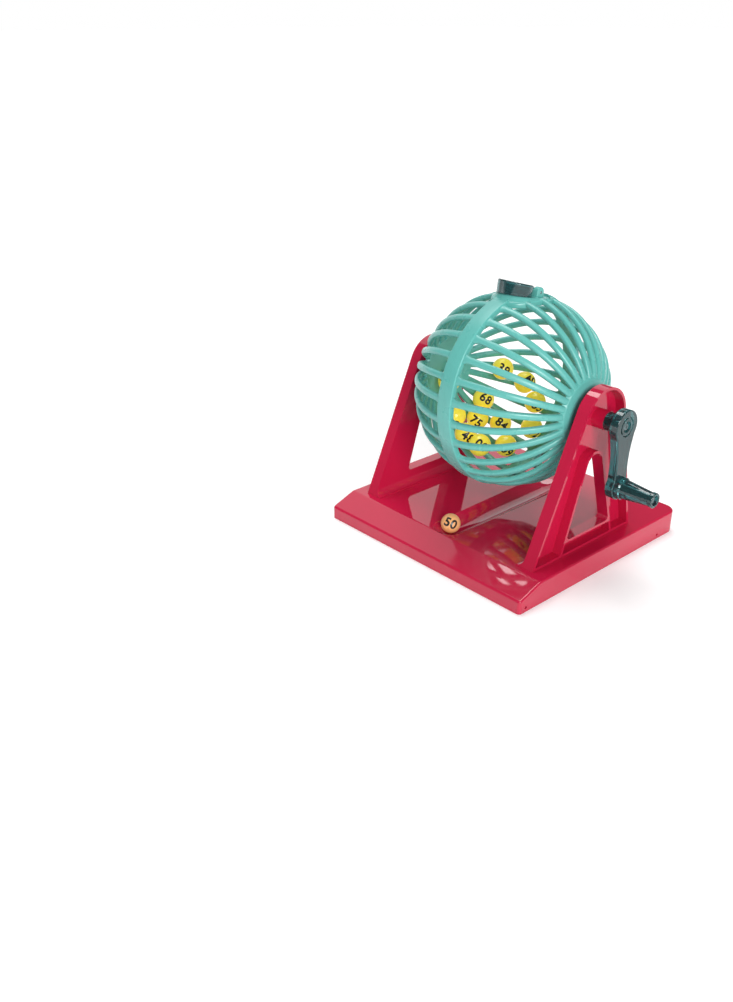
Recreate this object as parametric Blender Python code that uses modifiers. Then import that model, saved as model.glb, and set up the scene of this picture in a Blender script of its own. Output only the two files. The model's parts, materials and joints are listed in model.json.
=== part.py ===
"""Table-top bingo cage: a ribbed globe of balls turned by a crank above a ball tray.

Metres, +Z up. The origin is on the table, in the middle of the tray's footprint. The axle
runs along X, the crank is on the +X side and the low front edge of the tray faces -Y.
"""

import math

import bmesh
import bpy
from mathutils import Matrix, Vector

GAP = 0.0003                    # clearance between pieces that meet
WALL = 0.0024                   # usual wall of the red mouldings

# Globe of balls
GLOBE_RADIUS = 0.0873           # outer radius of the ribs
GLOBE_THICKNESS = 0.005         # ribs and band, measured along the radius
AXLE_HEIGHT = 0.1356            # globe centre above the table
RIBS = 28                       # on each half
RIB_WIDTH = 0.006
SLOT_TIP_DEPTH = 0.002          # how far the blunt tip of each gap is from where its sides meet
BAND_HALF_WIDTH = 0.0077        # each half carries one half of the middle band
BAND_RADIUS = GLOBE_RADIUS + 0.0006
POLE_RADIUS = 0.0245            # flat disc where the ribs meet
POLE_FACE = 0.0838              # that disc's outer face, from the globe centre
HUB_RADIUS = 0.009
JOURNAL_RADIUS = 0.0055         # what turns in the uprights' bores

# Filling port, in a frame that leans back about the axle: +Z there is the port's axis
PORT_TILT = math.radians(11)
PORT_PLANE = 0.0842             # the collar's flat face, from the globe centre
COLLAR_HALF_WIDTH = 0.0187
COLLAR_HALF_LENGTH = 0.0265
COLLAR_Y = -0.009
LID_Y = -0.022
LID_RADIUS = 0.0157
LID_HEIGHT = 0.0118
PORT_RADIUS = 0.0110            # a ball and a little to spare
HINGE_Y = -0.001
HINGE_Z = PORT_PLANE + 0.0040
HINGE_PIN_RADIUS = 0.0012
EAR_RADIUS = 0.0045
EAR_INNER = 0.0060
EAR_OUTER = 0.0125

# Tray
TRAY_HALF_WIDTH = 0.117
TRAY_HALF_DEPTH = 0.1135
TRAY_TOP = 0.021
TRAY_FRONT_HEIGHT = 0.0118
RAMP_DEPTH = 0.0255
TRAY_REAR_CORNER = 0.012
TRAY_FRONT_CORNER = 0.003
TRAY_EDGE = 0.0018              # rounding along the top edges

# Ball trough: a groove that widens to the back under the globe
TROUGH_FRONT_Y = -0.074
TROUGH_REAR_Y = 0.060
TROUGH_FRONT_RADIUS = 0.0215
TROUGH_REAR_RADIUS = 0.034
TROUGH_FRONT_FLOOR = 0.0152
TROUGH_REAR_FLOOR = 0.0167

# Uprights
UPRIGHT_INNER_X = 0.0911
UPRIGHT_OUTER_X = 0.1023
UPRIGHT_ARC_RADIUS = 0.028
UPRIGHT_FRONT_Y = -0.0815       # feet, at the tray's top
UPRIGHT_REAR_Y = 0.0545
WINDOW_Y = -0.0085
WINDOW_HALF_WIDTH = 0.0298
WINDOW_SILL = 0.0357
WINDOW_ARCH_HEIGHT = 0.097
WINDOW_ARCH_RADIUS = 0.0104
BOSS_RADIUS = 0.0085
BOSS_END_X = 0.105
FOOT_FILLET = 0.0066
TAB_Y = (-0.055, 0.032)
TAB_HALF_LENGTH = 0.007

# Crank
CRANK_INNER_X = 0.1155
CRANK_OUTER_X = 0.1235
CRANK_HEAD_RADIUS = 0.0144
CRANK_THROW = 0.0543
CRANK_END_RADIUS = 0.011
CRANK_WAIST = 0.0082
COLLAR_RADIUS = 0.008
KEY_HALF = 0.0032               # square key that turns the globe
KEY_END_X = 0.0862
SCREW_RADIUS = 0.0015
GRIP_END_X = 0.1579
GRIP_ROOT_RADIUS = 0.0096
GRIP_TIP_RADIUS = 0.0066
GRIP_PIN_RADIUS = 0.0020

# Balls
BALL_RADIUS = 0.0104            # the balls in the globe
DRAWN_BALL_RADIUS = 0.0090
DRAWN_BALL_Y = -0.0725
# Where each ball lies in the globe: its distance along the axle from the middle, how far it has
# been carried round from the bottom towards the back, and how far it is off the globe's inside.
BALLS_IN_GLOBE = (
    ("ball_09", -0.0174, 15.9, 0.0),
    ("ball_08", -0.0201, -15.4, 0.0087),
    ("ball_48", -0.0408, -13.5, 0.0031),
    ("ball_33", -0.0578, -14.3, 0.0),
    ("ball_75", -0.0495, 15.5, 0.0021),
    ("ball_84", -0.0360, 30.8, 0.0),
    ("ball_12", -0.0099, 41.1, 0.0),
    ("ball_68", -0.0565, 40.5, 0.0),
    ("ball_05", -0.0188, 61.1, 0.0),
    ("ball_40", -0.0333, 74.3, 0.0),
    ("ball_39", -0.0519, 83.9, 0.0),
    ("ball_60", -0.0660, -57.7, 0.0036),
)

RED = (0.62, 0.012, 0.060)
TEAL = (0.16, 0.55, 0.50)
SMOKE = (0.03, 0.16, 0.17)
YELLOW = (0.86, 0.66, 0.05)
STEEL = (0.55, 0.56, 0.58)

CENTRE = Vector((0, 0, AXLE_HEIGHT))
AXIS_TO_PLUS_X = Matrix.Rotation(math.radians(90), 4, "Y")
AXIS_TO_MINUS_X = Matrix.Rotation(math.radians(-90), 4, "Y")
PORT_FRAME = Matrix.Translation(CENTRE) @ Matrix.Rotation(-PORT_TILT, 4, "X")
# A flat outline's own x and y become the world's y and z, and it is thick along the world's x
OUTLINE_ACROSS_X = Matrix(((0, 0, 1, 0), (1, 0, 0, 0), (0, 1, 0, 0), (0, 0, 0, 1)))
# The same for an outline drawn in z and x, thick along the world's y
OUTLINE_ACROSS_Y = Matrix(((0, 1, 0, 0), (0, 0, 1, 0), (1, 0, 0, 0), (0, 0, 0, 1)))


# ---------------------------------------------------------------- scene and materials

def clear_scene():
    for thing in list(bpy.data.objects):
        bpy.data.objects.remove(thing, do_unlink=True)


def new_collection(name):
    collection = bpy.data.collections.new(name)
    bpy.context.scene.collection.children.link(collection)
    return collection


clear_scene()
PARTS = new_collection("bingo_cage")
CUTTERS = new_collection("cutters")


def plastic(name, colour, roughness, metallic=0.0, transmission=0.0):
    material = bpy.data.materials.new(name)
    material.use_nodes = True
    shader = material.node_tree.nodes["Principled BSDF"]
    shader.inputs["Base Color"].default_value = (*colour, 1)
    shader.inputs["Roughness"].default_value = roughness
    shader.inputs["Metallic"].default_value = metallic
    shader.inputs["Transmission Weight"].default_value = transmission
    return material


# ---------------------------------------------------------------- shapes

def add_object(name, mesh, matrix=None):
    thing = bpy.data.objects.new(name, mesh)
    PARTS.objects.link(thing)
    if matrix is not None:
        thing.matrix_world = matrix
    return thing


def make_cutter(thing):
    """Keeps a construction shape out of the model."""
    PARTS.objects.unlink(thing)
    CUTTERS.objects.link(thing)
    thing.hide_render = True
    thing.display_type = "WIRE"
    return thing


def boolean(target, other, operation):
    modifier = target.modifiers.new(operation.lower() + "_" + other.name, "BOOLEAN")
    modifier.operation = operation
    modifier.solver = "EXACT"
    modifier.object = make_cutter(other)


def cut(target, *others):
    for other in others:
        boolean(target, other, "DIFFERENCE")


def add(target, *others):
    for other in others:
        boolean(target, other, "UNION")


def prism(name, loops, low, high, matrix=None):
    """A solid with the given flat outlines, from low to high along its own z."""
    curve = bpy.data.curves.new(name, "CURVE")
    curve.dimensions = "2D"
    curve.fill_mode = "BOTH"
    curve.extrude = (high - low) / 2
    for loop in loops:
        spline = curve.splines.new("POLY")
        spline.points.add(len(loop) - 1)
        for point, (x, y) in zip(spline.points, loop):
            point.co = (x, y, 0, 1)
        spline.use_cyclic_u = True
    source = bpy.data.objects.new(name + "_outline", curve)
    PARTS.objects.link(source)
    bpy.context.view_layer.update()
    evaluated = source.evaluated_get(bpy.context.evaluated_depsgraph_get())
    mesh = bpy.data.meshes.new_from_object(evaluated)
    mesh.transform(Matrix.Translation((0, 0, (low + high) / 2)))
    weld(mesh)
    bpy.data.objects.remove(source, do_unlink=True)
    return add_object(name, mesh, matrix)


def weld(mesh):
    work = bmesh.new()
    work.from_mesh(mesh)
    bmesh.ops.remove_doubles(work, verts=work.verts, dist=1e-6)
    bmesh.ops.recalc_face_normals(work, faces=work.faces)
    work.to_mesh(mesh)
    work.free()


def from_bmesh(name, work, matrix):
    mesh = bpy.data.meshes.new(name)
    work.to_mesh(mesh)
    work.free()
    return add_object(name, mesh, matrix)


def box(name, low, high, matrix=None):
    low, high = Vector(low), Vector(high)
    work = bmesh.new()
    bmesh.ops.create_cube(work, size=1)
    bmesh.ops.scale(work, vec=high - low, verts=work.verts)
    bmesh.ops.translate(work, vec=(low + high) / 2, verts=work.verts)
    return from_bmesh(name, work, matrix)


def cylinder(name, radius, low, high, matrix, segments=24, top_radius=None):
    """A cylinder or cone from low to high along its own z."""
    work = bmesh.new()
    bmesh.ops.create_cone(work, cap_ends=True, segments=segments, radius1=radius,
                          radius2=radius if top_radius is None else top_radius, depth=high - low)
    bmesh.ops.translate(work, vec=(0, 0, (low + high) / 2), verts=work.verts)
    return from_bmesh(name, work, matrix)


def ball(name, radius, centre, around=20, rings=12):
    work = bmesh.new()
    bmesh.ops.create_uvsphere(work, u_segments=around, v_segments=rings, radius=radius)
    return from_bmesh(name, work, Matrix.Translation(centre))


def turned(name, profile, steps, matrix):
    """A closed (radius, height) profile turned about its own z, outer side listed top to bottom."""
    mesh = bpy.data.meshes.new(name)
    count = len(profile)
    points = [(radius, 0, height) for radius, height in profile]
    closed = profile[0][0] > 0 or profile[-1][0] > 0
    edges = [(i, i + 1) for i in range(count - 1)]
    if closed:
        edges.append((count - 1, 0))
    mesh.from_pydata(points, edges, [])
    thing = add_object(name, mesh, matrix)
    screw = thing.modifiers.new("turn", "SCREW")
    screw.steps = steps
    screw.render_steps = steps
    screw.use_merge_vertices = True
    screw.merge_threshold = 0.00001
    return thing


def arc(centre, radius, start, end, segments):
    """Points on a circle between two angles in degrees."""
    points = []
    for i in range(segments + 1):
        angle = math.radians(start + (end - start) * i / segments)
        points.append((centre[0] + radius * math.cos(angle), centre[1] + radius * math.sin(angle)))
    return points


def finish(thing, material, sharp_angle=35):
    thing.data.materials.append(material)
    thing.data.shade_smooth()
    thing.data.set_sharp_from_angle(angle=math.radians(sharp_angle))
    return thing


def pivot(name, matrix):
    """An empty on a joint's axis."""
    empty = bpy.data.objects.new(name, None)
    empty.empty_display_size = 0.02
    empty.matrix_world = matrix
    PARTS.objects.link(empty)
    return empty


def hang_on(empty, *things):
    for thing in things:
        thing.parent = empty
        thing.matrix_parent_inverse = empty.matrix_world.inverted()


# ---------------------------------------------------------------- outlines

class AFrame:
    """The two straight sides of an A, each tangent to the circle that rounds its top."""

    def __init__(self, front_y, rear_y, foot_z, centre, radius):
        self.foot_z, self.centre, self.radius = foot_z, centre, radius
        self.front = self.tangent_angle(front_y, -1)
        self.rear = self.tangent_angle(rear_y, 1)

    def tangent_angle(self, foot_y, side):
        """Angle on the circle, in degrees, where the side from this foot touches it."""
        across = foot_y - self.centre[0]
        down = self.foot_z - self.centre[1]
        towards_foot = math.atan2(down, across)
        return math.degrees(towards_foot + side * math.acos(self.radius / math.hypot(across, down)))

    def side_y(self, angle, z, inset):
        """Where one side, moved in by the inset, is at height z."""
        normal = math.radians(angle)
        rise = (z - self.centre[1]) * math.sin(normal)
        return self.centre[0] + (self.radius - inset - rise) / math.cos(normal)

    def outline(self, bottom, inset=0.0, segments=14):
        front = math.fmod(self.front + 360, 360)
        top = arc(self.centre, self.radius - inset, self.rear, front, segments)
        return [(self.side_y(self.front, bottom, inset), bottom),
                (self.side_y(self.rear, bottom, inset), bottom)] + top

    def trapezoid(self, bottom, top, inset):
        return [(self.side_y(self.front, bottom, inset), bottom),
                (self.side_y(self.rear, bottom, inset), bottom),
                (self.side_y(self.rear, top, inset), top),
                (self.side_y(self.front, top, inset), top)]


def tray_outline(inset, top_view_segments=6):
    """The tray from above: large rear corners, small front ones."""
    x, y = TRAY_HALF_WIDTH - inset, TRAY_HALF_DEPTH - inset
    rear = TRAY_REAR_CORNER - inset
    front = max(TRAY_FRONT_CORNER - inset, 0.0005)
    return (arc((x - rear, y - rear), rear, 0, 90, top_view_segments)
            + arc((rear - x, y - rear), rear, 90, 180, top_view_segments)
            + arc((front - x, front - y), front, 180, 270, 3)
            + arc((x - front, front - y), front, 270, 360, 3))


def stadium(half_width, half_length, centre_y, segments=10):
    """An outline with straight sides along y and round ends."""
    straight = half_length - half_width
    return (arc((0, centre_y + straight), half_width, 0, 180, segments)
            + arc((0, centre_y - straight), half_width, 180, 360, segments))


# ---------------------------------------------------------------- tray

def ramp_cutter(name, drop):
    """What lies above the front ramp, lowered by the drop."""
    slope = (TRAY_TOP - TRAY_FRONT_HEIGHT) / RAMP_DEPTH
    bend = RAMP_DEPTH - TRAY_HALF_DEPTH
    behind, ahead = bend + 0.003, bend - RAMP_DEPTH - 0.010
    above = TRAY_TOP + 0.020
    line = [(behind, TRAY_TOP - drop + 0.003 * slope),
            (ahead, TRAY_TOP - drop + (ahead - bend) * slope)]
    profile = line + [(ahead, above), (behind, above)]
    return prism(name, [profile], -0.2, 0.2, OUTLINE_ACROSS_X)


def trough_cutters(prefix, skin):
    """The groove for the drawn ball, as a long cone with a round end at the front and the back."""
    front_z = TROUGH_FRONT_FLOOR + TROUGH_FRONT_RADIUS
    rear_z = TROUGH_REAR_FLOOR + TROUGH_REAR_RADIUS
    start = Vector((0, TROUGH_FRONT_Y, front_z))
    end = Vector((0, TROUGH_REAR_Y, rear_z))
    along = (end - start).to_track_quat("Z", "Y").to_matrix().to_4x4()
    length = (end - start).length
    return (
        cylinder(prefix + "_run", TROUGH_FRONT_RADIUS + skin, 0, length,
                 Matrix.Translation(start) @ along, 40, TROUGH_REAR_RADIUS + skin),
        ball(prefix + "_front", TROUGH_FRONT_RADIUS + skin, start, 32, 20),
        ball(prefix + "_rear", TROUGH_REAR_RADIUS + skin, end, 32, 20),
    )


def make_tray(material):
    tray = prism("base_tray", [tray_outline(0)], -0.010, TRAY_TOP)
    cut(tray, ramp_cutter("ramp_top", 0))
    edge = tray.modifiers.new("round_top_edges", "BEVEL")
    edge.width = TRAY_EDGE
    edge.segments = 3
    edge.limit_method = "ANGLE"
    edge.angle_limit = math.radians(35)
    cut(tray, box("below_table", (-0.2, -0.2, -0.05), (0.2, 0.2, 0)))

    hollow = prism("tray_hollow", [tray_outline(WALL)], -0.001, TRAY_TOP - WALL)
    rib = WALL / 2
    cut(hollow, ramp_cutter("ramp_inside", WALL))
    cut(hollow, box("spine_rib", (-rib, -0.2, -0.1), (rib, 0.2, 0.1)))
    for row, y in enumerate((-0.040, 0.045)):
        cut(hollow, box("cross_rib_%d" % row, (-0.2, y - rib, -0.1), (0.2, y + rib, 0.1)))
    cut(hollow, *trough_cutters("trough_skin", WALL))
    cut(tray, hollow)
    cut(tray, *trough_cutters("trough", 0))

    slot_low = UPRIGHT_INNER_X + 0.0008 - GAP
    slot_high = slot_low + WALL + 2 * GAP
    for side in (-1, 1):
        for y in TAB_Y:
            x_span = sorted((side * slot_low, side * slot_high))
            half = TAB_HALF_LENGTH + GAP
            cut(tray, box("tab_slot_%d_%d" % (side, y * 1000),
                          (x_span[0], y - half, 0.015), (x_span[1], y + half, 0.030)))
    for name, y in (("front", -0.1055), ("rear", 0.082)):
        cut(tray, cylinder("pivot_hole_" + name, 0.0013, -0.2, 0.2,
                           Matrix.Translation((0, y, 0.0042)) @ AXIS_TO_PLUS_X, 12))
    return finish(tray, material)


# ---------------------------------------------------------------- uprights

def make_upright(name, side, material):
    """An A-shaped shell, open on its outer side, with a bored boss for the axle."""
    floor = TRAY_TOP + GAP
    frame = AFrame(UPRIGHT_FRONT_Y, UPRIGHT_REAR_Y, TRAY_TOP, (0, AXLE_HEIGHT), UPRIGHT_ARC_RADIUS)
    window = AFrame(WINDOW_Y - WINDOW_HALF_WIDTH, WINDOW_Y + WINDOW_HALF_WIDTH, WINDOW_SILL,
                    (WINDOW_Y, WINDOW_ARCH_HEIGHT), WINDOW_ARCH_RADIUS)

    def slab(label, outline, inner, outer):
        span = sorted((side * inner, side * outer))
        return prism(name + label, [outline], span[0], span[1], OUTLINE_ACROSS_X)

    def rod(label, radius, inner, outer):
        span = sorted((side * inner, side * outer))
        place = Matrix.Translation(CENTRE) @ AXIS_TO_PLUS_X
        return cylinder(name + label, radius, span[0], span[1], place, 32)

    upright = slab("", frame.outline(floor), UPRIGHT_INNER_X, UPRIGHT_OUTER_X)
    web = UPRIGHT_INNER_X + WALL
    beyond = UPRIGHT_OUTER_X + 0.010
    recess = slab("_recess", frame.outline(floor + WALL, WALL), web, beyond)
    cut(recess, slab("_kept_legs", window.outline(floor, -WALL), web - 0.001, beyond + 0.001))
    cut(upright, recess)
    cut(upright, slab("_sill_recess", window.trapezoid(floor + WALL, WINDOW_SILL - WALL, 0),
                      web, beyond))
    cut(upright, slab("_window", window.outline(WINDOW_SILL), UPRIGHT_INNER_X - 0.01, beyond))
    add(upright, rod("_boss", BOSS_RADIUS, UPRIGHT_INNER_X + 0.001, BOSS_END_X))

    foot = UPRIGHT_INNER_X - FOOT_FILLET
    curve = arc((floor + FOOT_FILLET + 0.001, -foot), FOOT_FILLET, 180, 270, 5)
    profile = [(floor, -foot), *curve, (floor + FOOT_FILLET + 0.001, -UPRIGHT_INNER_X - 0.001),
               (floor, -UPRIGHT_INNER_X - 0.001)]
    profile = [(z, -side * x) for z, x in profile]
    add(upright, prism(name + "_foot_fillet", [profile], UPRIGHT_FRONT_Y + 0.0005,
                       UPRIGHT_REAR_Y - 0.0005, OUTLINE_ACROSS_Y))

    tab_low = UPRIGHT_INNER_X + 0.0008
    tab_high = tab_low + WALL
    for y in TAB_Y:
        for label, low, high in (("_tab_", (tab_low, 0.0115), (tab_high, floor + 0.001)),
                                 ("_hook_", (tab_high - 0.001, 0.0115), (tab_high + 0.0011, 0.0165))):
            x_span = sorted((side * low[0], side * high[0]))
            add(upright, box(name + label + "%d" % (y * 1000),
                             (x_span[0], y - TAB_HALF_LENGTH, low[1]),
                             (x_span[1], y + TAB_HALF_LENGTH, high[1])))
    cut(upright, rod("_bore", JOURNAL_RADIUS + GAP, UPRIGHT_INNER_X - 0.01, BOSS_END_X + 0.01))
    return finish(upright, material)


# ---------------------------------------------------------------- globe

def globe_profile(journal_end=None):
    """One half of the globe as (radius, distance along the axle), with a journal or a bore."""
    inner = GLOBE_RADIUS - GLOBE_THICKNESS
    band_edge = math.degrees(math.asin(BAND_HALF_WIDTH / GLOBE_RADIUS))
    pole_edge = math.degrees(math.acos(POLE_RADIUS / GLOBE_RADIUS))
    inner_edge = math.degrees(math.acos(POLE_RADIUS / inner))
    pole_inside = inner * math.sin(math.radians(inner_edge))
    half_gap = GAP / 2
    hub_end = UPRIGHT_INNER_X - GAP
    outer_arc = arc((0, 0), GLOBE_RADIUS, pole_edge, band_edge, 6)
    inner_arc = arc((0, 0), inner, 1.0, inner_edge, 6)
    bore = 0 if journal_end else SCREW_RADIUS + GAP
    axis = [(bore, hub_end)]
    if journal_end:
        axis = [(0, journal_end), (JOURNAL_RADIUS, journal_end), (JOURNAL_RADIUS, hub_end)]
    return (axis + [(HUB_RADIUS, hub_end), (HUB_RADIUS, POLE_FACE), (POLE_RADIUS - 0.003, POLE_FACE)]
            + outer_arc
            + [(BAND_RADIUS, BAND_HALF_WIDTH), (BAND_RADIUS, half_gap), (inner, half_gap)]
            + inner_arc[1:]
            + [(bore, pole_inside)])


def slot_outlines():
    """The gaps between ribs, seen along the axle: wedges that leave ribs of one width."""
    pitch = 2 * math.pi / RIBS
    apex = RIB_WIDTH / 2 / math.sin(pitch / 2)
    outlines = []
    for i in range(RIBS):
        turn = Matrix.Rotation(i * pitch, 2)
        corners = []
        for side, far in ((-1, SLOT_TIP_DEPTH), (-1, GLOBE_RADIUS * 1.4),
                          (1, GLOBE_RADIUS * 1.4), (1, SLOT_TIP_DEPTH)):
            across = side * math.tan(pitch / 2) * far
            corners.append(turn @ Vector((apex + far, across)))
        outlines.append(corners)
    return outlines


def make_globe_half(name, side, material):
    place = Matrix.Translation(CENTRE) @ (AXIS_TO_PLUS_X if side > 0 else AXIS_TO_MINUS_X)
    half = turned(name, globe_profile(BOSS_END_X if side < 0 else None), 2 * RIBS, place)
    slot_start = BAND_HALF_WIDTH + 0.0004
    cut(half, prism(name + "_slots", slot_outlines(), slot_start, GLOBE_RADIUS * 1.2, place))
    collar = stadium(COLLAR_HALF_WIDTH + GAP, COLLAR_HALF_LENGTH + GAP, COLLAR_Y)
    cut(half, prism(name + "_collar_seat", [collar], 0.055, 0.120, PORT_FRAME))
    if side > 0:
        key = KEY_HALF + GAP
        cut(half, box(name + "_key_socket", (KEY_END_X - GAP, -key, AXLE_HEIGHT - key),
                      (0.12, key, AXLE_HEIGHT + key)))
    return finish(half, material)


def make_collar(material):
    """The flat plate round the filling port, with two hinge ears behind it."""
    outline = stadium(COLLAR_HALF_WIDTH, COLLAR_HALF_LENGTH, COLLAR_Y)
    collar = prism("port_collar", [outline], 0.066, PORT_PLANE, PORT_FRAME)
    cut(collar, ball("collar_inside", GLOBE_RADIUS - GLOBE_THICKNESS + GAP, CENTRE, 64, 32))
    cut(collar, cylinder("port", PORT_RADIUS, 0.05, 0.10,
                         PORT_FRAME @ Matrix.Translation((0, LID_Y, 0)), 32))
    for side in (-1, 1):
        low, high = sorted((side * EAR_INNER, side * EAR_OUTER))
        foot = PORT_PLANE - 0.001
        ear = (arc((HINGE_Y, HINGE_Z), EAR_RADIUS, 0, 180, 10)
               + [(HINGE_Y - EAR_RADIUS, foot), (HINGE_Y + EAR_RADIUS, foot)])
        add(collar, prism("hinge_ear_%d" % side, [ear], low, high, PORT_FRAME @ OUTLINE_ACROSS_X))
    cut(collar, hinge_rod("ear_bore", HINGE_PIN_RADIUS + GAP, 0.02))
    return finish(collar, material)


def hinge_rod(name, radius, half_length):
    place = PORT_FRAME @ Matrix.Translation((0, HINGE_Y, HINGE_Z)) @ AXIS_TO_PLUS_X
    return cylinder(name, radius, -half_length, half_length, place, 16)


def make_lid(material):
    """A clear drum, open below, on a knuckle between the collar's ears."""
    seat = PORT_PLANE + GAP
    top = PORT_PLANE + LID_HEIGHT
    wall = 0.0018
    profile = [(0, top), (LID_RADIUS - 0.0012, top), (LID_RADIUS, top - 0.0012),
               (LID_RADIUS - 0.0006, seat), (LID_RADIUS - wall, seat),
               (LID_RADIUS - wall, top - wall), (0, top - wall)]
    lid = turned("port_lid", profile, 40, PORT_FRAME @ Matrix.Translation((0, LID_Y, 0)))
    reach = EAR_INNER - GAP
    knuckle = 0.0032
    arm = (arc((HINGE_Y, HINGE_Z), knuckle, -90, 90, 8)
           + [(LID_Y + LID_RADIUS - wall / 2, HINGE_Z + knuckle),
              (LID_Y + LID_RADIUS - wall / 2, HINGE_Z - knuckle)])
    add(lid, prism("lid_knuckle", [arm], -reach, reach, PORT_FRAME @ OUTLINE_ACROSS_X))
    cut(lid, hinge_rod("knuckle_bore", HINGE_PIN_RADIUS + GAP, 0.021))
    return finish(lid, material)


# ---------------------------------------------------------------- crank

def crank_outline(segments=12):
    """A round head, a waist and a round end below it, in y and z about the axle."""
    head_z, end_z = -0.008, 0.007 - CRANK_THROW
    head_half = math.sqrt(CRANK_HEAD_RADIUS ** 2 - head_z ** 2)
    end_half = math.sqrt(CRANK_END_RADIUS ** 2 - (end_z + CRANK_THROW) ** 2)
    dip = (head_half + end_half) / 2 - CRANK_WAIST
    side = []
    for i in range(1, segments):
        t = i / segments
        width = head_half + (end_half - head_half) * t - dip * math.sin(math.pi * t)
        side.append((width, head_z + (end_z - head_z) * t))
    head_start = math.degrees(math.atan2(head_z, head_half))
    end_start = math.degrees(math.atan2(end_z + CRANK_THROW, end_half))
    head = arc((0, 0), CRANK_HEAD_RADIUS, head_start, 180 - head_start, 20)
    foot = arc((0, -CRANK_THROW), CRANK_END_RADIUS, 180 - end_start, 360 + end_start, 16)
    left = [(-y, z) for y, z in side]
    return head + left + foot + side[::-1]


def make_crank(material):
    place = Matrix.Translation(CENTRE)
    arm = prism("crank_arm", [crank_outline()], CRANK_INNER_X, CRANK_OUTER_X,
                place @ OUTLINE_ACROSS_X)
    axle = place @ AXIS_TO_PLUS_X
    grip_axis = Matrix.Translation((0, 0, -CRANK_THROW)) @ axle
    inside = CRANK_INNER_X + 0.001
    add(arm, cylinder("crank_collar", COLLAR_RADIUS, BOSS_END_X + GAP, inside, axle, 28))
    add(arm, cylinder("crank_shaft", JOURNAL_RADIUS, UPRIGHT_INNER_X, inside, axle, 24))
    add(arm, box("crank_key", (KEY_END_X, -KEY_HALF, -KEY_HALF), (inside, KEY_HALF, KEY_HALF), place))
    cut(arm, cylinder("screw_recess", 0.0055, CRANK_OUTER_X - 0.0028, 0.2, axle, 24))
    cut(arm, cylinder("screw_bore", SCREW_RADIUS + GAP, 0.05, 0.2, axle, 12))
    cut(arm, cylinder("grip_pin_seat", GRIP_PIN_RADIUS + GAP, CRANK_INNER_X + 0.0015, 0.2,
                      grip_axis, 16))
    return finish(arm, material)


def make_crank_screw(material):
    head = CRANK_OUTER_X - 0.0028 + GAP
    profile = [(0, head + 0.0018), (0.0026, head + 0.0018), (0.0043, head + 0.0009),
               (0.0043, head), (SCREW_RADIUS, head), (SCREW_RADIUS, 0.0815), (0, 0.0805)]
    screw = turned("crank_screw", profile, 16, Matrix.Translation(CENTRE) @ AXIS_TO_PLUS_X)
    return finish(screw, material)


def make_grip(material):
    root = CRANK_OUTER_X + GAP
    bore = GRIP_PIN_RADIUS + GAP
    tip = GRIP_END_X
    well = 0.0042
    profile = [(well, tip), (GRIP_TIP_RADIUS - 0.0008, tip), (GRIP_TIP_RADIUS, tip - 0.0008),
               (GRIP_TIP_RADIUS, tip - 0.0030), (GRIP_TIP_RADIUS - 0.0004, tip - 0.0034),
               (GRIP_ROOT_RADIUS - 0.0009, root + 0.0042), (GRIP_ROOT_RADIUS, root + 0.0034),
               (GRIP_ROOT_RADIUS, root), (bore, root), (bore, tip - 0.0035), (well, tip - 0.0035)]
    place = Matrix.Translation(CENTRE - Vector((0, 0, CRANK_THROW))) @ AXIS_TO_PLUS_X
    return finish(turned("crank_grip", profile, 28, place), material)


def make_grip_pin(material):
    head = GRIP_END_X - 0.0035 + GAP
    start = CRANK_INNER_X + 0.0015 + GAP
    profile = [(0, head + 0.0016), (0.0026, head + 0.0014), (0.0037, head + 0.0006),
               (0.0037, head), (GRIP_PIN_RADIUS, head), (GRIP_PIN_RADIUS, start), (0, start)]
    place = Matrix.Translation(CENTRE - Vector((0, 0, CRANK_THROW))) @ AXIS_TO_PLUS_X
    return finish(turned("grip_pin", profile, 20, place), material)


# ---------------------------------------------------------------- balls

def trough_floor(y):
    share = (y - TROUGH_FRONT_Y) / (TROUGH_REAR_Y - TROUGH_FRONT_Y)
    return TROUGH_FRONT_FLOOR + share * (TROUGH_REAR_FLOOR - TROUGH_FRONT_FLOOR)


def make_globe_balls(material):
    reach = GLOBE_RADIUS - GLOBE_THICKNESS - BALL_RADIUS - 3 * GAP
    made = []
    for name, x, carried, raised in BALLS_IN_GLOBE:
        out = math.sqrt((reach - raised) ** 2 - x ** 2)
        angle = math.radians(carried)
        centre = CENTRE + Vector((x, out * math.sin(angle), -out * math.cos(angle)))
        made.append(finish(ball(name, BALL_RADIUS, centre, 12, 7), material, 180))
    return made


def make_drawn_ball(material):
    centre = Vector((0, DRAWN_BALL_Y, trough_floor(DRAWN_BALL_Y) + DRAWN_BALL_RADIUS + GAP))
    return finish(ball("drawn_ball", DRAWN_BALL_RADIUS, centre, 20, 12), material, 180)


# ---------------------------------------------------------------- assembly

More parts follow.
